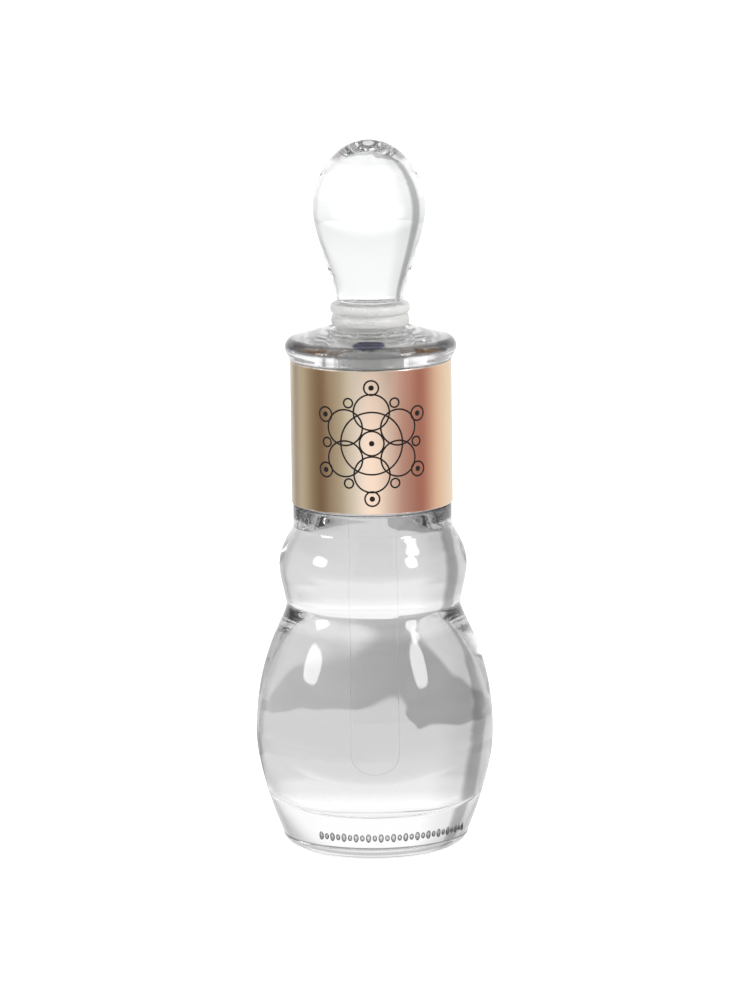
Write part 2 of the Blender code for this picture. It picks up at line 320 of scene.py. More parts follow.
def outer_profile():
    """Outer side of the glass, from the mouth down over lip, recess, body and heel to the push-up."""
    shoulder = (LIP_SHOULDER_RADIUS, LIP_SHOULDER)
    rim_shade = (LIP_RADIUS, LIP_RIM)
    recess_radius = BAND_RADIUS - BAND_THICKNESS - CLEARANCE
    points = lip_top()
    points.append(shoulder)
    points += corner_curve(shoulder, (LIP_RADIUS, LIP_SHOULDER), rim_shade)
    points += upright_curve(rim_shade, (LIP_FOOT_RADIUS, LIP_FOOT), LIP_TO_FOOT_SHARES)
    points += [
        (recess_radius, LIP_FOOT),
        (recess_radius, BAND_BOTTOM - CLEARANCE),
        (NECK_RADIUS, BAND_BOTTOM - CLEARANCE),
    ]
    points += body_side(0.0)
    heel = (HEEL_RADIUS, HEEL_HEIGHT)
    contact = (BASE_RADIUS, 0.0)
    points += upright_curve(points[-1], heel, BELLY_TO_HEEL_SHARES, LONG_CURVE_PIECES)
    heel = (HEEL_RADIUS, HEEL_HEIGHT - MOULD_LINE_WIDTH)
    points += [(HEEL_RADIUS - MOULD_LINE_DEPTH, HEEL_HEIGHT - MOULD_LINE_WIDTH / 2), heel]
    points += corner_curve(heel, (HEEL_RADIUS - HEEL_TURN, 0.0), contact)
    points += [
        (PUSH_UP_RADIUS, 0.0),
        (PUSH_UP_RADIUS - PUSH_UP_DEPTH, PUSH_UP_DEPTH),
        (0.0, PUSH_UP_DEPTH),
    ]
    return points


def oil_profile():
    """The oil, from the middle of its surface out to the meniscus and down to the floor."""
    wall = NECK_RADIUS - WALL - OIL_GAP
    edge = (wall, OIL_LEVEL + MENISCUS)
    level_end = (wall - 2 * MENISCUS, OIL_LEVEL)
    points = [(0.0, OIL_LEVEL), level_end]
    points += corner_curve(level_end, (wall, OIL_LEVEL), edge, FILLET_PIECES)
    points += cavity_side(OIL_GAP)[::-1]
    return points


def ring_bead(radius, root_radius, top, bottom):
    """Rounded bead of one ring, from its top edge down to its bottom edge."""
    middle = (top + bottom) / 2
    bulge = radius - root_radius
    points = []
    for step in range(BEAD_PIECES + 1):
        angle = math.pi * (step / BEAD_PIECES - 0.5)
        points.append((root_radius + bulge * math.cos(angle), middle - (top - middle) * math.sin(angle)))
    return points


def seal_profile():
    """Double ring and ribbed sleeve of the plug, as one closed loop with its bore."""
    rib_radius = MOUTH_RADIUS - CLEARANCE
    sleeve_radius = rib_radius - RIB_HEIGHT
    shank_bore = SHANK_RADIUS + CLEARANCE
    rod_bore = ROD_RADIUS + CLEARANCE
    points = ring_bead(RING_RADIUS, GROOVE_RADIUS, PLUG_TOP, GROOVE_TOP)
    points += ring_bead(LOWER_RING_RADIUS, GROOVE_RADIUS, GROOVE_FOOT, PLUG_SEAT)
    points.append((sleeve_radius, PLUG_SEAT))
    plug_top = MOUTH_TOP - MOUTH_EASE
    pitch = (plug_top - MOUTH_FOOT) / RIB_COUNT
    for rib in range(RIB_COUNT):
        middle = plug_top - (rib + 0.5) * pitch
        points += [
            (sleeve_radius, middle + RIB_THICKNESS / 2),
            (rib_radius, middle),
            (sleeve_radius, middle - RIB_THICKNESS / 2),
        ]
    points += [
        (sleeve_radius, PLUG_FOOT + PLUG_EASE),
        (sleeve_radius - PLUG_EASE, PLUG_FOOT),
        (rod_bore, PLUG_FOOT),
        (rod_bore, ROD_TOP),
        (shank_bore, ROD_TOP),
        (shank_bore, PLUG_TOP),
    ]
    return points


def stopper_profile():
    """Bulb, waist and shank of the stopper, from the crown down to the shank's end."""
    crown = (0.0, BULB_CROWN)
    widest = (BULB_RADIUS, BULB_WIDEST)
    waist = (BULB_WAIST_RADIUS, BULB_WAIST)
    points = [crown]
    points += corner_curve(crown, (BULB_RADIUS, BULB_CROWN), widest, LONG_CURVE_PIECES)
    points += upright_curve(widest, waist, BULB_TO_WAIST_SHARES, LONG_CURVE_PIECES)
    points += [
        (BULB_FOOT_RADIUS, BULB_SEAT),
        (SHANK_RADIUS, BULB_SEAT),
        (SHANK_RADIUS, SHANK_FOOT + SHANK_EASE),
        (SHANK_RADIUS - SHANK_EASE, SHANK_FOOT),
        (0.0, SHANK_FOOT),
    ]
    return points


def rod_profile():
    """Straight rod with a rounded tip, from its top down."""
    tip_top = (ROD_RADIUS, ROD_TIP + ROD_RADIUS)
    tip = (0.0, ROD_TIP)
    points = [(0.0, ROD_TOP), (ROD_RADIUS, ROD_TOP), tip_top]
    points += corner_curve(tip_top, (ROD_RADIUS, ROD_TIP), tip)
    return points


# Meshes

def finished_mesh(shape):
    """Turns a shape in the making into a mesh."""
    mesh = bpy.data.meshes.new("mesh")
    shape.to_mesh(mesh)
    shape.free()
    return mesh


def turned_mesh(profile, sides, closed=False, slot_of=None):
    """Turns a profile, which runs down its outer side, about Z into one closed smooth mesh."""
    shape = bmesh.new()
    angles = [math.tau * side / sides for side in range(sides)]
    rings = []
    for radius, height in profile:
        if radius == 0.0:
            rings.append([shape.verts.new((0.0, 0.0, height))])
            continue
        circle = [(radius * math.cos(angle), radius * math.sin(angle), height) for angle in angles]
        rings.append([shape.verts.new(place) for place in circle])
    pairs = list(zip(rings, rings[1:]))
    if closed:
        pairs.append((rings[-1], rings[0]))
    for upper, lower in pairs:
        for side in range(sides):
            after = (side + 1) % sides
            corners = [upper[side % len(upper)], lower[side % len(lower)]]
            if len(lower) > 1:
                corners.append(lower[after])
            if len(upper) > 1:
                corners.append(upper[after])
            face = shape.faces.new(corners)
            face.smooth = True
            if slot_of:
                face.material_index = slot_of(face.calc_center_median())
    return finished_mesh(shape)


def new_piece(name, mesh, materials):
    """Puts a mesh into the scene with its name and its materials."""
    mesh.name = name
    piece = bpy.data.objects.new(name, mesh)
    for material in materials:
        mesh.materials.append(material)
    scene.collection.objects.link(piece)
    return piece


def band_mesh():
    """Thin strip bent round the neck, with an open seam at the back."""
    inner = BAND_RADIUS - BAND_THICKNESS
    outer_edges = [(BAND_RADIUS, BAND_TOP), (BAND_RADIUS, BAND_BOTTOM)]
    inner_edges = [(inner, BAND_BOTTOM), (inner, BAND_TOP)]
    section = rounded(outer_edges + inner_edges, BAND_EDGE, closed=True)
    half_seam = BAND_SEAM / 2 / BAND_RADIUS
    start = math.pi / 2 + half_seam
    sweep = math.tau - 2 * half_seam
    shape = bmesh.new()
    rings = []
    for side in range(GLASS_SIDES + 1):
        angle = start + sweep * side / GLASS_SIDES
        aside, back = math.cos(angle), math.sin(angle)
        rings.append([shape.verts.new((aside * r, back * r, height)) for r, height in section])
    count = len(section)
    for here, there in zip(rings, rings[1:]):
        for index in range(count):
            after = (index + 1) % count
            face = shape.faces.new((here[index], here[after], there[after], there[index]))
            face.smooth = True
            outermost = max(section[index][0], section[after][0])
            face.material_index = 1 if outermost < inner + BAND_EDGE else 0
    shape.faces.new(rings[0][::-1])
    shape.faces.new(rings[-1])
    bmesh.ops.recalc_face_normals(shape, faces=shape.faces)
    return finished_mesh(shape)


def on_band(across, upward, rise):
    """Point on the band, from distances along its face, and a rise above it."""
    turn = across / BAND_RADIUS
    radius = BAND_RADIUS + rise
    return (radius * math.sin(turn), -radius * math.cos(turn), ORNAMENT_HEIGHT + upward)


def band_circle(shape, centre, radius, rise, pieces):
    """Points in a circle on the band."""
    circle = []
    for step in range(pieces):
        angle = math.tau * step / pieces
        across = centre[0] + radius * math.cos(angle)
        upward = centre[1] + radius * math.sin(angle)
        circle.append(shape.verts.new(on_band(across, upward, rise)))
    return circle


def add_ring(shape, centre, radius):
    """Thin flat ribbon of enamel in a circle on the band."""
    foot, top = LINE_WIDTH / 2, LINE_WIDTH / 3
    low, high = ENAMEL_SINK, ENAMEL_THICKNESS
    section = ((-foot, low), (-top, high), (top, high), (foot, low))
    rings = [band_circle(shape, centre, radius + offset, rise, CIRCLE_PIECES) for offset, rise in section]
    for here, there in zip(rings, rings[1:] + rings[:1]):
        for step in range(CIRCLE_PIECES):
            after = (step + 1) % CIRCLE_PIECES
            shape.faces.new((here[step], here[after], there[after], there[step]))


def add_spot(shape, centre, radius):
    """Small raised round spot of enamel on the band."""
    middle = shape.verts.new(on_band(*centre, ENAMEL_THICKNESS))
    under = shape.verts.new(on_band(*centre, ENAMEL_SINK))
    top = band_circle(shape, centre, radius * SPOT_TOP_SHARE, ENAMEL_THICKNESS, SPOT_PIECES)
    foot = band_circle(shape, centre, radius, ENAMEL_SINK, SPOT_PIECES)
    for step in range(SPOT_PIECES):
        after = (step + 1) % SPOT_PIECES
        shape.faces.new((middle, top[step], top[after]))
        shape.faces.new((top[step], foot[step], foot[after], top[after]))
        shape.faces.new((under, foot[after], foot[step]))


def ornament_mesh():
    """Rosette of interlaced circles with small rings and spots round it."""
    shape = bmesh.new()
    for radius in ROSETTE_RADII:
        add_ring(shape, (0.0, 0.0), radius)
    add_spot(shape, (0.0, 0.0), SPOT_RADIUS)
    for distance, radius, turn, spotted in ROSETTE_RINGS:
        for step in range(ROSETTE_COUNT):
            angle = math.tau * (step + turn) / ROSETTE_COUNT
            centre = (distance * math.cos(angle), distance * math.sin(angle))
            add_ring(shape, centre, radius)
            if spotted:
                add_spot(shape, centre, SPOT_RADIUS)
    bmesh.ops.recalc_face_normals(shape, faces=shape.faces)
    return finished_mesh(shape)


def dots_mesh():
    """Row of small upright raised dots above the heel, each a little sunk into the wall."""
    shape = bmesh.new()
    belly = (BELLY_RADIUS, BELLY_HEIGHT)
    heel = (HEEL_RADIUS, HEEL_HEIGHT)
    side = upright_curve(belly, heel, BELLY_TO_HEEL_SHARES, LONG_CURVE_PIECES)
    wall = min(side, key=lambda point: abs(point[1] - DOT_HEIGHT))[0]
    for step in range(DOT_COUNT):
        turn = DOT_FROM + (DOT_TO - DOT_FROM) * step / (DOT_COUNT - 1)
        place = Vector((math.sin(turn), -math.cos(turn), 0.0)) * (wall - DOT_SINK)
        place.z = DOT_HEIGHT
        size = Matrix.Diagonal((*DOT_SIZES[step % len(DOT_SIZES)], 1.0))
        matrix = Matrix.Translation(place) @ Matrix.Rotation(turn, 4, "Z") @ size
        bmesh.ops.create_icosphere(shape, subdivisions=3, radius=1.0, matrix=matrix)
    for face in shape.faces:
        face.smooth = True
    return finished_mesh(shape)


# Materials

CLEAR = (1.0, 1.0, 1.0)

# Tints of the bottle's outside by height, which are painted shade: a little grey on the body, clear under
# the band and on the lip
BOTTLE_SHADE_STOPS = (
    (0.0, (0.95, 0.95, 0.95)),
    (0.0455, (0.95, 0.95, 0.95)),
    (0.0470, CLEAR),
    (0.0690, CLEAR),
)

# Painted shade at the rims of the glass, and over most of each grip dot: tint, and facing where it starts
# and is full
BOTTLE_RIM_SHADE = ((0.92, 0.92, 0.925), (0.70, 0.97))
STOPPER_RIM_SHADE = ((0.66, 0.68, 0.69), (0.66, 0.90))
DOT_SHADE = ((0.05, 0.05, 0.055), (-0.10, 0.30))
ROD_RIM_SHADE = ((0.84, 0.84, 0.84), (0.72, 0.96))
DRY_ROD_RIM_SHADE = (0.40, 0.41, 0.42)

# Painted shade on the glass: lowest and highest place, softness, facing, and tint. It darkens the waist,
# the bare neck and the lip's edge at their sides, the lip's and heel's mould lines, and the foot's edge.
PAINTED_SHADE_ZONES = (
    (0.0308, 0.0326, 0.0004, (0.32, 0.52), (0.10, 0.10, 0.11)),
    (0.0437, 0.0461, 0.0003, (0.20, 0.40), (0.08, 0.08, 0.09)),
    (0.0664, 0.0678, 0.0003, (0.28, 0.48), (0.05, 0.045, 0.045)),
    (0.0662, 0.0667, 0.0002, (-0.2, 0.0), (0.50, 0.49, 0.54)),
    (HEEL_HEIGHT - MOULD_LINE_WIDTH, HEEL_HEIGHT, 0.00005, (-0.2, 0.0), (0.20, 0.20, 0.21)),
    (-0.0005, 0.0006, 0.0003, (0.40, 0.80), (0.30, 0.30, 0.31)),
)

# Painted shade at the rim of the stopper's crown, in the same form
CROWN_SHADE_ZONES = (
    (0.0908, 0.0930, 0.0006, (0.36, 0.56), (0.28, 0.25, 0.27)),
)

# Waves in the glass: their size and heights, and how many times finer the ripples on them are
WAVE_SIZE = 0.007
WAVE_HEIGHT = 0.00004
OIL_WAVE_HEIGHT = 0.00001
STOPPER_WAVE_HEIGHT = 0.000006
RIPPLE_SHARE = 4.0
ROD_WAVE_SIZE = 0.004
ROD_WAVE_STRETCH = (1.0, 1.0, 4.0)
ROD_WAVE_HEIGHT = 0.00001

# Faint smudges on glass that is handled
SMUDGE_SIZE = 0.0045
SMUDGE_LIMITS = (0.5, 0.75)
SMUDGE_ROUGHNESS = 0.02

# Tints by height, which are painted shade: the wetted inner wall is grey with clear bands at the floor,
# the waist and the neck, and the stopper is greyer below its bulb's widest part and clear above it
WETTED_SHADE = (0.715, 0.715, 0.715)
WETTED_SHADE_STOPS = (
    (0.0058, CLEAR),
    (0.0068, CLEAR),
    (0.0082, WETTED_SHADE),
    (0.0284, WETTED_SHADE),
    (0.0296, CLEAR),
    (0.0325, CLEAR),
    (0.0340, WETTED_SHADE),
    (0.0455, WETTED_SHADE),
    (0.0475, CLEAR),
    (0.060, CLEAR),
)
STOPPER_SHADE_STOPS = (
    (0.066, (0.90, 0.915, 0.91)),
    (0.0785, (0.89, 0.905, 0.90)),
    (0.0812, (0.85, 0.87, 0.865)),
    (0.0833, (0.82, 0.84, 0.835)),
    (0.0847, (0.95, 0.96, 0.96)),
    (0.0857, (0.985, 0.99, 0.99)),
    (0.095, (0.985, 0.99, 0.99)),
)

# Colour of the band round the neck, by azimuth in degrees from the front toward +X: olive gold to rose,
# with painted reflections, which are dark stripes near -42 and 30 to 41 degrees and a bright stripe at
# the front
BAND_COLOUR_AND_REFLECTION_STOPS = (
    (-180, (0.56, 0.45, 0.33)),
    (-110, (0.58, 0.48, 0.35)),
    (-70, (0.54, 0.44, 0.31)),
    (-55, (0.39, 0.30, 0.19)),
    (-42, (0.19, 0.125, 0.07)),
    (-33, (0.25, 0.17, 0.105)),
    (-20, (0.46, 0.375, 0.26)),
    (-10, (0.73, 0.615, 0.50)),
    (-1, (0.93, 0.72, 0.575)),
    (9, (0.73, 0.56, 0.44)),
    (19, (0.49, 0.30, 0.23)),
    (30, (0.36, 0.17, 0.12)),
    (41, (0.39, 0.175, 0.12)),
    (53, (0.68, 0.44, 0.295)),
    (66, (0.73, 0.54, 0.375)),
    (110, (0.64, 0.53, 0.40)),
    (180, (0.56, 0.45, 0.33)),
)
BAND_STREAK = 0.02

# Brushed lines, worn edges, smudges and waves of the band
BRUSH_SIZE = 0.00025
BRUSH_STRETCH = (1.0, 1.0, 40.0)
BRUSH_HEIGHT = 0.0000015
WORN_FOIL = (0.80, 0.74, 0.66)
WEAR_SIZE = 0.0011
WEAR_DEPTH = 0.00022
WEAR_START = -0.00006
WEAR_END = 0.00012
FOIL_SMUDGE_SIZE = 0.004
FOIL_ROUGHNESS = (0.24, 0.36)
FOIL_WAVE_SIZE = 0.006
FOIL_WAVE_HEIGHT = 0.00002

# Inner side of the band: primer, and lacquer that ran over
PRIMER_COLOUR = (0.98, 0.975, 0.965)
PRIMER_METALLIC = 0.9
PRIMER_SPOT_SIZE = 0.002
PRIMER_ROUGHNESS = (0.3, 0.5)
PRIMER_GRAIN_SIZE = 0.0015
PRIMER_GRAIN_HEIGHT = 0.00001
LACQUER_COLOUR = (0.48, 0.27, 0.12)
LACQUER_HEIGHTS = (0.0592, 0.0630)
LACQUER_AZIMUTHS = (math.radians(92), math.radians(104))
LACQUER_SOFTNESS = 0.0004
LACQUER_SPOT_SIZE = 0.0012
LACQUER_UNEVENNESS = 0.0012

# Black enamel of the ornament
ENAMEL_GRAIN_SIZE = 0.0004
ENAMEL_GRAIN_HEIGHT = 0.000004
ENAMEL_STOPS = (
    (0.3, (0.006, 0.005, 0.005)),
    (0.7, (0.020, 0.017, 0.016)),
)
ENAMEL_ROUGHNESS = (0.4, 0.6)
ENAMEL_SPECULAR_LEVEL = 0.12

# Plastic of the plug: its clouds and its moulding marks
CLOUD_SIZE = 0.0022
CLOUD_STRETCH = (1.0, 1.0, 0.4)
PLASTIC_STOPS = (
    (0.3, (0.94, 0.935, 0.92)),
    (0.7, (0.98, 0.975, 0.965)),
)
PLASTIC_ROUGHNESS = (0.16, 0.34)
PLASTIC_TRANSMISSION = 0.55
MARK_SIZE = 0.0006
MARK_STRETCH = (8.0, 8.0, 1.0)
MARK_HEIGHT = 0.00003

# Painted dark navy reflection on top of the lip, by azimuth and distance from the middle
LIP_REFLECTION_AZIMUTH = math.radians(-1.5)
LIP_REFLECTION_HALF_WIDTH = math.radians(14)
LIP_REFLECTION_RADIUS = 0.0093
LIP_REFLECTION_HALF_DEPTH = 0.0016
LIP_REFLECTION_EDGE = (0.7, 1.2)
LIP_REFLECTION_SPOT_SIZE = 0.0016
LIP_REFLECTION_UNEVENNESS = 0.0012
LIP_REFLECTION_COLOUR = (0.002, 0.002, 0.028)


def new_material(name):
    """Makes an empty node material, and returns it with its node tree."""
    material = bpy.data.materials.new(name)
    material.use_nodes = True
    material.node_tree.nodes.clear()
    return material, material.node_tree


def add(tree, kind, values=(), **settings):
    """Adds a shader node with its settings and inputs, which are numbers, colours or outputs."""
    node = tree.nodes.new("ShaderNode" + kind)
    for name, value in settings.items():
        setattr(node, name, value)
    for socket, value in dict(values).items():
        if isinstance(value, bpy.types.NodeSocket):
            tree.links.new(value, node.inputs[socket])
        elif isinstance(value, tuple) and len(value) == 3 and node.inputs[socket].type == "RGBA":
            node.inputs[socket].default_value = (*value, 1.0)
        else:
            node.inputs[socket].default_value = value
    return node


def finish_material(tree, shader, normal=None):
    """Leads a shader, and its bumped normal if it has one, to the material's output."""
    if normal is not None:
        tree.links.new(normal, shader.inputs["Normal"])
    add(tree, "OutputMaterial", {"Surface": shader.outputs[0]})


def smooth_step(tree, value, low, high, start=0.0, end=1.0):
    """Smooth change from start to end as a value goes from low to high."""
    return add(tree, "MapRange", {
        "Value": value, "From Min": low, "From Max": high, "To Min": start, "To Max": end,
    }, interpolation_type="SMOOTHSTEP").outputs[0]


def between(tree, share, start, end):
    """Even change from start to end as a share goes from 0 to 1."""
    return add(tree, "MapRange", {"Value": share, "To Min": start, "To Max": end}).outputs[0]


def within(tree, value, low, high, softness):
    """One where a value lies between two limits, with soft edges inside them."""
    above = smooth_step(tree, value, low, low + softness)
    below = smooth_step(tree, value, high - softness, high, 1.0, 0.0)
    return maths(tree, "MULTIPLY", above, below)


def maths(tree, operation, *values):
    """Result of a mathematical node."""
    return add(tree, "Math", dict(enumerate(values)), operation=operation).outputs[0]


def product(tree, first, *others):
    """Product of two or more values."""
    for other in others:
        first = maths(tree, "MULTIPLY", first, other)
    return first


def vector_maths(tree, operation, *values):
    """Vector that a vector node gives."""
    return add(tree, "VectorMath", dict(enumerate(values)), operation=operation).outputs["Vector"]


def dot(tree, one, other):
    """Dot product of two vectors."""
    return add(tree, "VectorMath", {0: one, 1: other}, operation="DOT_PRODUCT").outputs["Value"]


def length_of(tree, vector):
    """Length of a vector."""
    return add(tree, "VectorMath", {0: vector}, operation="LENGTH").outputs["Value"]


def level_part(tree, vector):
    """A vector without its height."""
    return vector_maths(tree, "MULTIPLY", vector, (1.0, 1.0, 0.0))


def part_of(tree, vector, axis):
    """One of the three numbers of a vector."""
    return add(tree, "SeparateXYZ", {"Vector": vector}).outputs[axis]


def own_place(tree):
    """Place on a piece, in the piece's own frame."""
    return add(tree, "TexCoord").outputs["Object"]


def height_of(tree):
    """Height above the base, in the bottle's own place."""
    return part_of(tree, own_place(tree), "Z")


def shades(tree, value, stops):
    """Colour that follows a value through (value, colour) stops, on one curve where they are many."""
    low, high = stops[0][0], stops[-1][0]
    share = add(tree, "MapRange", {"Value": value, "From Min": low, "From Max": high}).outputs[0]
    ramp = add(tree, "ValToRGB", {"Fac": share})
    ramp.color_ramp.interpolation = "EASE" if len(stops) < 4 else "CARDINAL"
    elements = ramp.color_ramp.elements
    while len(elements) < len(stops):
        elements.new(1.0)
    for element, (place, colour) in zip(elements, stops):
        element.position = (place - low) / (high - low)
        element.color = (*colour, 1.0)
    return ramp.outputs["Color"]


def noise(tree, size, detail=1.0, stretch=(1.0, 1.0, 1.0)):
    """Noise whose spots have the given size, drawn out by the stretch."""
    place = vector_maths(tree, "DIVIDE", own_place(tree), stretch)
    return add(tree, "TexNoise", {"Vector": place, "Scale": 1 / size, "Detail": detail}).outputs[0]


def uneven(tree, size, depth):
    """Shift either way by up to half the depth, in spots of the given size."""
    return product(tree, maths(tree, "SUBTRACT", noise(tree, size, 3.0), 0.5), depth)


def bump(tree, height, distance, under=None):
    """Normal of a relief, laid over another one's normal if that is given."""
    values = {"Height": height, "Distance": distance}
    if under is not None:
        values["Normal"] = under
    return add(tree, "Bump", values).outputs[0]


def mixed(tree, factor, one, other):
    """Colour between two colours."""
    return add(tree, "Mix", {"Factor": factor, "A": one, "B": other}, data_type="RGBA").outputs["Result"]


def azimuth_of(tree):
    """Azimuth round the bottle, from the front toward +X."""
    place = own_place(tree)
    ahead = product(tree, part_of(tree, place, "Y"), -1.0)
    return maths(tree, "ARCTAN2", part_of(tree, place, "X"), ahead)


def reach_of(tree, across, upward, power):
    """One at the edge of a rounded patch and less inside it, from shares of its half sizes."""
    across = maths(tree, "POWER", maths(tree, "ABSOLUTE", across), power)
    upward = maths(tree, "POWER", maths(tree, "ABSOLUTE", upward), power)
    return maths(tree, "ADD", across, upward)


def lip_reflection_mask(tree):
    """One on the painted dark reflection on the lip's top, with an uneven edge, and nothing below the
    lip.
    """
    radius = length_of(tree, level_part(tree, own_place(tree)))
    radius = maths(tree, "ADD", radius, uneven(tree, LIP_REFLECTION_SPOT_SIZE, LIP_REFLECTION_UNEVENNESS))
    across = maths(tree, "SUBTRACT", azimuth_of(tree), LIP_REFLECTION_AZIMUTH)
    across = maths(tree, "DIVIDE", across, LIP_REFLECTION_HALF_WIDTH)
    outward = maths(tree, "SUBTRACT", radius, LIP_REFLECTION_RADIUS)
    outward = maths(tree, "DIVIDE", outward, LIP_REFLECTION_HALF_DEPTH)
    reach = reach_of(tree, across, outward, 2.0)
    above = maths(tree, "GREATER_THAN", height_of(tree), LIP_RIM)
    return product(tree, above, smooth_step(tree, reach, *LIP_REFLECTION_EDGE, 1.0, 0.0))


def smudges(tree):
    """Roughness of clean glass with faint smudges."""
    return smooth_step(tree, noise(tree, SMUDGE_SIZE, 3.0), *SMUDGE_LIMITS, 0.0, SMUDGE_ROUGHNESS)


def glass_material(name, ior, stops=None, rim_shade=None, shade_zones=(), with_lip_reflection=False, handled=False,
                   wave_height=WAVE_HEIGHT):
    """Clear moulded glass: waves and fine ripples in its surface, and painted shade in tints by height,
    at the rim and in zones, and a painted dark reflection on the lip's top.
    """
    material, tree = new_material(name)
    # Tints by height, which are painted shade
    tint_and_shade = shades(tree, height_of(tree), stops) if stops else CLEAR
    facing = add(tree, "LayerWeight").outputs["Facing"]
    # Painted shade at the rim
    if rim_shade:
        dark, limits = rim_shade
        tint_and_shade = mixed(tree, smooth_step(tree, facing, *limits), tint_and_shade, dark)
    # Painted shade in zones by height
    for low, high, softness, limits, dark in shade_zones:
        inside = within(tree, height_of(tree), low, high, softness)
        share = product(tree, inside, smooth_step(tree, facing, *limits))
        tint_and_shade = mixed(tree, share, tint_and_shade, dark)
    # Painted dark reflection on the lip's top
    if with_lip_reflection:
        tint_and_shade = mixed(tree, lip_reflection_mask(tree), tint_and_shade, LIP_REFLECTION_COLOUR)
    shader = add(tree, "BsdfPrincipled", {
        "Base Color": tint_and_shade,
        "Roughness": smudges(tree) if handled else 0.0,
        "Transmission Weight": 1.0,
        "IOR": ior,
    })
    waves = bump(tree, noise(tree, WAVE_SIZE), wave_height)
    ripples = noise(tree, WAVE_SIZE / RIPPLE_SHARE, 2.0)
    finish_material(tree, shader, bump(tree, ripples, wave_height / RIPPLE_SHARE**2, waves))
    return material


def rod_material():
    """Clear glass of the rod, which almost vanishes in the oil, with painted shade at its edges."""
    material, tree = new_material("rod_glass")
    world_height = part_of(tree, add(tree, "NewGeometry").outputs["Position"], "Z")
    dry = maths(tree, "GREATER_THAN", world_height, OIL_LEVEL)
    # Painted shade at the rod's edges, darker above the oil
    dark, limits = ROD_RIM_SHADE
    edge = smooth_step(tree, add(tree, "LayerWeight").outputs["Facing"], *limits)
    shader = add(tree, "BsdfPrincipled", {
        "Base Color": mixed(tree, edge, CLEAR, mixed(tree, dry, dark, DRY_ROD_RIM_SHADE)),
        "Roughness": smudges(tree),
        "Transmission Weight": 1.0,
        "IOR": between(tree, dry, ROD_IOR / OIL_IOR, ROD_IOR),
    })
    shader.inputs["IOR"].default_value = ROD_IOR
    waves = noise(tree, ROD_WAVE_SIZE, stretch=ROD_WAVE_STRETCH)
    finish_material(tree, shader, bump(tree, waves, ROD_WAVE_HEIGHT))
    return material


def band_material():
    """Bright metal foil whose colour shades round the neck from olive gold to rose, with painted
    reflections.
    """
    material, tree = new_material("band_metal")
    brushing = noise(tree, BRUSH_SIZE, 3.0, BRUSH_STRETCH)
    streaks = maths(tree, "SUBTRACT", brushing, 0.5)
    azimuth = maths(tree, "MULTIPLY_ADD", streaks, BAND_STREAK, azimuth_of(tree))
    # Gold to rose colour with painted reflections: dark stripes to either side and a bright stripe at the
    # front
    foil_and_reflections = shades(tree, azimuth, [(math.radians(turn), colour) for turn, colour in BAND_COLOUR_AND_REFLECTION_STOPS])
    middle = (BAND_BOTTOM + BAND_TOP) / 2
    wear = maths(tree, "ABSOLUTE", maths(tree, "SUBTRACT", height_of(tree), middle))
    wear = maths(tree, "ADD", wear, product(tree, noise(tree, WEAR_SIZE, 4.0), WEAR_DEPTH))
    worn = smooth_step(tree, wear, BAND_HEIGHT / 2 + WEAR_START, BAND_HEIGHT / 2 + WEAR_END)
    shader = add(tree, "BsdfPrincipled", {
        "Base Color": mixed(tree, worn, foil_and_reflections, WORN_FOIL),
        "Metallic": 1.0,
        "Roughness": between(tree, noise(tree, FOIL_SMUDGE_SIZE, 3.0), *FOIL_ROUGHNESS),
    })
    lines = bump(tree, brushing, BRUSH_HEIGHT)
    finish_material(tree, shader, bump(tree, noise(tree, FOIL_WAVE_SIZE), FOIL_WAVE_HEIGHT, lines))
    return material


def band_inside_material():
    """Inner side of the foil: pale primed metal with gold lacquer that ran over at the back."""
    material, tree = new_material("band_inside")
    height = maths(tree, "ADD", height_of(tree), uneven(tree, LACQUER_SPOT_SIZE, LACQUER_UNEVENNESS))
    back = smooth_step(tree, maths(tree, "ABSOLUTE", azimuth_of(tree)), *LACQUER_AZIMUTHS)
    lacquer = product(tree, back, within(tree, height, *LACQUER_HEIGHTS, LACQUER_SOFTNESS))
    shader = add(tree, "BsdfPrincipled", {
        "Base Color": mixed(tree, lacquer, PRIMER_COLOUR, LACQUER_COLOUR),
        "Metallic": PRIMER_METALLIC,
        "Roughness": between(tree, noise(tree, PRIMER_SPOT_SIZE, 2.0), *PRIMER_ROUGHNESS),
    })
    finish_material(tree, shader, bump(tree, noise(tree, PRIMER_GRAIN_SIZE, 3.0), PRIMER_GRAIN_HEIGHT))
    return material


def enamel_material():
    """Black enamel of the printed ornament, thin and slightly uneven."""
    material, tree = new_material("black_enamel")
    grain = noise(tree, ENAMEL_GRAIN_SIZE, 3.0)
    shader = add(tree, "BsdfPrincipled", {
        "Base Color": shades(tree, grain, ENAMEL_STOPS),
        "Roughness": between(tree, grain, *ENAMEL_ROUGHNESS),
        "Specular IOR Level": ENAMEL_SPECULAR_LEVEL,
    })
    finish_material(tree, shader, bump(tree, grain, ENAMEL_GRAIN_HEIGHT))
    return material


def plastic_material():
    """Translucent natural plastic: milky, with clouds and fine moulding marks."""
    material, tree = new_material("plug_plastic")
    clouds = noise(tree, CLOUD_SIZE, 3.0, CLOUD_STRETCH)
    shader = add(tree, "BsdfPrincipled", {
        "Base Color": shades(tree, clouds, PLASTIC_STOPS),
        "Roughness": between(tree, clouds, *PLASTIC_ROUGHNESS),
        "Transmission Weight": PLASTIC_TRANSMISSION,
        "IOR": PLASTIC_IOR,
    })
    finish_material(tree, shader, bump(tree, noise(tree, MARK_SIZE, 2.0, MARK_STRETCH), MARK_HEIGHT))
    return material


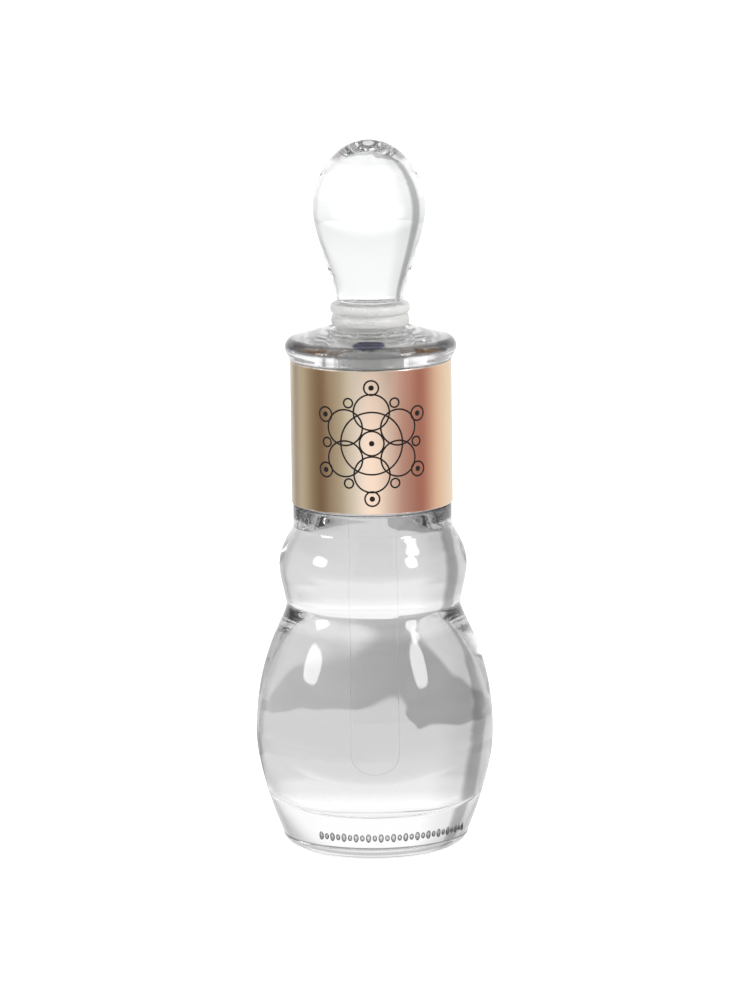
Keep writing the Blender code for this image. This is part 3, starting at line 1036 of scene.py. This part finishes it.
bottle_glass = glass_material("bottle_glass", GLASS_IOR, BOTTLE_SHADE_STOPS, BOTTLE_RIM_SHADE, PAINTED_SHADE_ZONES,
                              with_lip_reflection=True, handled=True)
dot_glass = glass_material("bottle_glass_dots", GLASS_IOR, rim_shade=DOT_SHADE, handled=True)
bottle_wetted = glass_material("bottle_glass_wetted", GLASS_IN_OIL_IOR, WETTED_SHADE_STOPS)
bottle_inside = glass_material("bottle_glass_inside", GLASS_IOR)
oil_surface = glass_material("oil_surface", OIL_IOR, wave_height=OIL_WAVE_HEIGHT)
oil_side = glass_material("oil_side", OIL_SIDE_IOR, wave_height=OIL_WAVE_HEIGHT)
stopper_glass = glass_material("stopper_glass", GLASS_IOR, STOPPER_SHADE_STOPS, STOPPER_RIM_SHADE, CROWN_SHADE_ZONES,
                               handled=True, wave_height=STOPPER_WAVE_HEIGHT)
rod_glass = rod_material()
plug_plastic = plastic_material()
band_metal = band_material()
band_inside = band_inside_material()
black_enamel = enamel_material()


# Pieces

def bottle_slot(centre):
    """Material slot of a face of the bottle: outside, wetted wall or dry inner wall."""
    radius = math.hypot(centre.x, centre.y)
    inside = FLOOR_THICKNESS - OIL_GAP < centre.z and radius < inner_limit(centre.z)
    if not inside:
        return 0
    return 1 if centre.z < OIL_LEVEL + MENISCUS / 2 else 2


def oil_slot(centre):
    """Material slot of a face of the oil: its surface or its side."""
    return 0 if centre.z > OIL_LEVEL - OIL_GAP else 1


def inner_limit(height):
    """A radius between the inner and the outer side of the glass at a height."""
    if height > MOUTH_TOP - MOUTH_EASE:
        return MOUTH_RADIUS + MOUTH_EASE
    side = body_side(WALL / 2)[::-1]
    if height > side[-1][1]:
        return NECK_RADIUS - WALL + CLEARANCE
    for (low_radius, low), (high_radius, high) in zip(side, side[1:]):
        if low <= height <= high:
            return low_radius + (high_radius - low_radius) * (height - low) / (high - low)
    return BELLY_RADIUS - WALL + CLEARANCE


bottle_outline = rounded(cavity_profile() + outer_profile(), GLASS_FILLET)
seal_outline = rounded(seal_profile(), PLUG_FILLET, closed=True)
rod_outline = rounded(rod_profile(), GLASS_FILLET)
stopper_outline = rounded(stopper_profile(), GLASS_FILLET)

bottle = new_piece(
    "bottle_body",
    turned_mesh(bottle_outline, GLASS_SIDES, slot_of=bottle_slot),
    [bottle_glass, bottle_wetted, bottle_inside],
)
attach(bottle, "bottle")
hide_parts("glass_bottle")

oil_mesh = turned_mesh(oil_profile(), GLASS_SIDES, slot_of=oil_slot)
oil = new_piece("perfume_oil", oil_mesh, [oil_surface, oil_side])
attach(oil, "bottle")

dots = new_piece("grip_dots", dots_mesh(), [dot_glass])
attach(dots, "bottle")

band = new_piece("band_sleeve", band_mesh(), [band_metal, band_inside])
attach(band, "bottle")
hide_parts("neck_band")

ornament = new_piece("band_ornament", ornament_mesh(), [black_enamel])
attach(ornament, "bottle")

seal = new_piece("plug_seal", turned_mesh(seal_outline, GLASS_SIDES, closed=True), [plug_plastic])
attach(seal, "plug")
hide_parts("stopper_seal")

rod = new_piece("rod", turned_mesh(rod_outline, ROD_SIDES), [rod_glass])
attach(rod, "plug")
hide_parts("dabber_rod")

stopper = new_piece("stopper_bulb", turned_mesh(stopper_outline, GLASS_SIDES), [stopper_glass])
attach(stopper, "stopper")
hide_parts("glass_stopper")


# Stage

# The round floor that the camera sees
TABLE_RADIUS = 6.0
TABLE_SIDES = 96
FLOOR_WHITE = (0.80, 0.80, 0.80)
FLOOR_GLOW = 0.75

# What glass and metal see of the table: brightness, the shaded ring round the bottle, and the far end
TABLE_VALUE = 1.0
TABLE_WIDE_VALUE = 1.09
WIDE_START = 0.09
WIDE_END = 0.14
RING_WAVES = 0.014
RING_WAVE_SIZE = 0.016
RING_INNER = 0.0522
RING_OUTER_RIGHT = 0.0665
RING_OUTER_MIDDLE = 0.0615
RING_OUTER_LEFT = 0.0820
RING_EDGE = 0.0016
RING_VALUE_RIGHT = 0.71
RING_VALUE_LEFT = 0.54
RING_LEFT_START = -0.005
RING_LEFT_END = -0.014
RING_RIGHT_HALF = 0.004
RING_DEPTH_HALF = 0.012
FAR_START = 0.22
FAR_END = 0.8
FAR_HALF_ANGLES = (35.0, 20.0)

# What they see above the table: the backdrop and the dark ceiling, by the height of the direction
BACKDROP_VALUE = 1.30
UPPER_VALUE = 1.08
UPPER_START = 0.045
UPPER_END = 0.130
BACKDROP_EDGE = -0.030
BACKDROP_RISE = 0.37
BACKDROP_EDGE_LIMIT = 0.16
BACKDROP_SOFTNESS = 0.013
CEILING_VALUE = 0.55
CEILING_START = 0.24
CEILING_END = 0.42
OVERHEAD_VALUE = 1.05
OVERHEAD_START = 0.52
OVERHEAD_END = 0.64

# Dark navy object overhead: azimuth, elevation, half width, half width with its soft edge, and colour
DARK_OBJECT = (100.0, 60.0, 13.0, 22.0)
DARK_COLOUR = (0.05, 0.05, 0.12)

# Dark cards: azimuth, half width of the dark part, half width with its soft edge, and brightness
CARDS = (
    (-134.0, 3.0, 10.0, 0.46),
    (-137.0, 8.0, 26.0, 0.84),
    (108.0, 4.0, 14.0, 0.80),
    (5.0, 18.0, 34.0, 0.35),
)
CARD_CENTRE = (0.0, 0.010, 0.0)
FLOOR_CARDS = CARDS[:2] + ((108.0, 4.0, 14.0, 0.90),)

# Soft boxes: their soft edges, and azimuth, elevation, half width, half height and brightness
SOFT_BOX_EDGE = (0.5, 1.0)
SOFT_BOXES = (
    (-72.5, 19.5, 11.0, 8.5, 9.0),
    (51.5, 23.0, 8.5, 11.0, 10.0),
    (61.0, 37.0, 9.5, 6.0, 9.0),
)

# Soft light: where it hangs, in degrees and metres, its size and its power
LIGHT_AZIMUTH = 20.0
LIGHT_ELEVATION = 55.0
LIGHT_DISTANCE = 1.2
LIGHT_SIZE = 0.6
LIGHT_POWER = 6.0

# Steps that light is followed for through glass
CLEAR_STEPS = 32


def toward(azimuth, elevation=0.0):
    """Direction at an azimuth counted from the camera's side toward +X, and an elevation."""
    turn, rise = math.radians(azimuth), math.radians(elevation)
    return (math.sin(turn) * math.cos(rise), -math.cos(turn) * math.cos(rise), math.sin(rise))


def cosines(outer, inner):
    """Cosines of two angles in degrees."""
    return (math.cos(math.radians(outer)), math.cos(math.radians(inner)))


def card_shade(tree, direction, cards):
    """One, or less where the flat direction points at dark cards."""
    shade = 1.0
    flat = vector_maths(tree, "NORMALIZE", level_part(tree, direction))
    for azimuth, inner, outer, value in cards:
        cosine = dot(tree, flat, toward(azimuth))
        card = smooth_step(tree, cosine, *cosines(outer, inner), 1.0, value)
        shade = product(tree, shade, card)
    return shade


def soft_boxes(tree, direction):
    """Brightness of the soft boxes, with soft edges, in a direction."""
    total = 0.0
    for azimuth, elevation, half_width, half_height, value in SOFT_BOXES:
        ahead = dot(tree, direction, toward(azimuth, elevation))
        ahead = smooth_step(tree, ahead, 0.0, 0.1, 0.0, value)
        across = dot(tree, direction, toward(azimuth + 90.0))
        across = maths(tree, "DIVIDE", across, math.sin(math.radians(half_width)))
        upward = dot(tree, direction, toward(azimuth, elevation + 90.0))
        upward = maths(tree, "DIVIDE", upward, math.sin(math.radians(half_height)))
        reach = reach_of(tree, across, upward, 3.0)
        box = product(tree, ahead, smooth_step(tree, reach, *SOFT_BOX_EDGE, 1.0, 0.0))
        total = maths(tree, "ADD", total, box)
    return total


def ring_shade(tree, place, distance):
    """One, or less on the shaded ring, which is wider and darker on the left."""
    side = part_of(tree, place, "X")
    left = add(tree, "MapRange", {
        "Value": side, "From Min": RING_LEFT_START, "From Max": RING_LEFT_END,
    }).outputs[0]
    right = smooth_step(tree, side, -RING_RIGHT_HALF, RING_RIGHT_HALF)
    outer = between(tree, left, RING_OUTER_MIDDLE, RING_OUTER_LEFT)
    outer = maths(tree, "ADD", outer, product(tree, right, RING_OUTER_RIGHT - RING_OUTER_MIDDLE))
    inside = smooth_step(tree, maths(tree, "SUBTRACT", distance, outer), -RING_EDGE, RING_EDGE, 1.0, 0.0)
    outside = smooth_step(tree, distance, RING_INNER - RING_EDGE, RING_INNER + RING_EDGE)
    depth = smooth_step(tree, side, -RING_DEPTH_HALF, RING_DEPTH_HALF, 1.0 - RING_VALUE_LEFT,
                        1.0 - RING_VALUE_RIGHT)
    shade = product(tree, inside, outside, depth)
    return maths(tree, "SUBTRACT", 1.0, shade)


def floor_material():
    """White floor, which glass and metal see as a pale table with a shaded ring round the bottle."""
    material, tree = new_material("floor")
    place = own_place(tree)
    waves = add(tree, "TexNoise", {"Vector": place, "Scale": 1 / RING_WAVE_SIZE, "Detail": 1.0})
    waves = vector_maths(tree, "SUBTRACT", waves.outputs["Color"], (0.5, 0.5, 0.5))
    waves = vector_maths(tree, "MULTIPLY", waves, (RING_WAVES, RING_WAVES, 0.0))
    place = vector_maths(tree, "ADD", place, waves)
    distance = length_of(tree, place)
    backward = dot(tree, vector_maths(tree, "NORMALIZE", place), toward(180.0))
    ahead = smooth_step(tree, backward, *cosines(*FAR_HALF_ANGLES))
    far = product(tree, smooth_step(tree, distance, FAR_START, FAR_END), ahead)
    value = smooth_step(tree, distance, WIDE_START, WIDE_END, TABLE_VALUE, TABLE_WIDE_VALUE)
    value = between(tree, far, value, BACKDROP_VALUE)
    cards = card_shade(tree, vector_maths(tree, "SUBTRACT", place, CARD_CENTRE), FLOOR_CARDS)
    value = product(tree, value, ring_shade(tree, place, distance), cards)
    table = add(tree, "Emission", {"Color": CLEAR, "Strength": value})
    white = add(tree, "BsdfDiffuse", {"Color": FLOOR_WHITE})
    glow = add(tree, "Emission", {"Color": CLEAR, "Strength": FLOOR_GLOW})
    white = add(tree, "AddShader", {0: white.outputs[0], 1: glow.outputs[0]})
    seen = add(tree, "LightPath").outputs["Is Camera Ray"]
    finish_material(tree, add(tree, "MixShader", {0: seen, 1: table.outputs[0], 2: white.outputs[0]}))
    return material


def make_floor():
    """Round floor, wide enough to run out of every view."""
    shape = bmesh.new()
    bmesh.ops.create_circle(shape, cap_ends=True, radius=TABLE_RADIUS, segments=TABLE_SIDES)
    floor = new_piece("floor", finished_mesh(shape), [floor_material()])


def surroundings(tree, direction):
    """Brightness of the backdrop, ceiling, dark cards and soft boxes in a direction."""
    height = part_of(tree, direction, "Z")
    flat = vector_maths(tree, "NORMALIZE", level_part(tree, direction))
    sideways = maths(tree, "SUBTRACT", 1.0, dot(tree, flat, toward(180.0)))
    edge = maths(tree, "MULTIPLY_ADD", sideways, BACKDROP_RISE, BACKDROP_EDGE)
    edge = maths(tree, "MINIMUM", edge, BACKDROP_EDGE_LIMIT)
    above = maths(tree, "SUBTRACT", height, edge)
    value = smooth_step(tree, above, -BACKDROP_SOFTNESS, BACKDROP_SOFTNESS, TABLE_WIDE_VALUE,
                        BACKDROP_VALUE)
    upper = smooth_step(tree, height, UPPER_START, UPPER_END, 1.0, UPPER_VALUE / BACKDROP_VALUE)
    ceiling = smooth_step(tree, height, CEILING_START, CEILING_END, 1.0, CEILING_VALUE)
    overhead = smooth_step(tree, height, OVERHEAD_START, OVERHEAD_END)
    value = between(tree, overhead, product(tree, value, upper, ceiling), OVERHEAD_VALUE)
    value = product(tree, value, card_shade(tree, direction, CARDS))
    return maths(tree, "ADD", value, soft_boxes(tree, direction))


def make_world():
    """Surroundings for glass and metal, and plain white for the camera."""
    world = bpy.data.worlds.new("studio")
    scene.world = world
    world.use_nodes = True
    tree = world.node_tree
    tree.nodes.clear()
    direction = add(tree, "TexCoord").outputs["Generated"]
    seen = add(tree, "LightPath").outputs["Is Camera Ray"]
    azimuth, elevation, inner, outer = DARK_OBJECT
    toward_object = dot(tree, direction, toward(azimuth, elevation))
    dark = smooth_step(tree, toward_object, *cosines(outer, inner))
    dark = product(tree, dark, maths(tree, "SUBTRACT", 1.0, seen))
    background = add(tree, "Background", {
        "Color": mixed(tree, dark, CLEAR, DARK_COLOUR),
        "Strength": between(tree, seen, surroundings(tree, direction), 1.0),
    })
    add(tree, "OutputWorld", {"Surface": background.outputs[0]})


def soft_light():
    """Area light that faces the bottle and doesn't show in glass or metal."""
    light = bpy.data.lights.new("soft_light", "AREA")
    light.size = LIGHT_SIZE
    light.energy = LIGHT_POWER
    lamp = bpy.data.objects.new("soft_light", light)
    place = Vector(toward(LIGHT_AZIMUTH, LIGHT_ELEVATION)) * LIGHT_DISTANCE
    lamp.location = Vector((0.0, 0.0, BAND_BOTTOM)) + place
    lamp.rotation_euler = (-place).to_track_quat("-Z", "Y").to_euler()
    lamp.visible_glossy = False
    lamp.visible_transmission = False
    scene.collection.objects.link(lamp)


def make_camera():
    """Camera at the photograph's viewing angle."""
    data = bpy.data.cameras.new("camera")
    data.sensor_fit = "VERTICAL"
    data.sensor_height = CAMERA_SENSOR
    data.lens = CAMERA_LENS
    camera = bpy.data.objects.new("camera", data)
    look = Vector(CAMERA_AIM) - Vector(CAMERA_PLACE)
    turn = look.to_track_quat("-Z", "Y").to_matrix().to_4x4() @ Matrix.Rotation(CAMERA_ROLL, 4, "Z")
    camera.matrix_world = Matrix.Translation(CAMERA_PLACE) @ turn
    scene.collection.objects.link(camera)
    scene.camera = camera


make_floor()
make_world()
soft_light()
make_camera()

scene.view_settings.view_transform = "Standard"
scene.cycles.max_bounces = CLEAR_STEPS
scene.cycles.transmission_bounces = CLEAR_STEPS
scene.cycles.glossy_bounces = 20
scene.cycles.diffuse_bounces = 16
scene.cycles.sample_clamp_indirect = 6.0
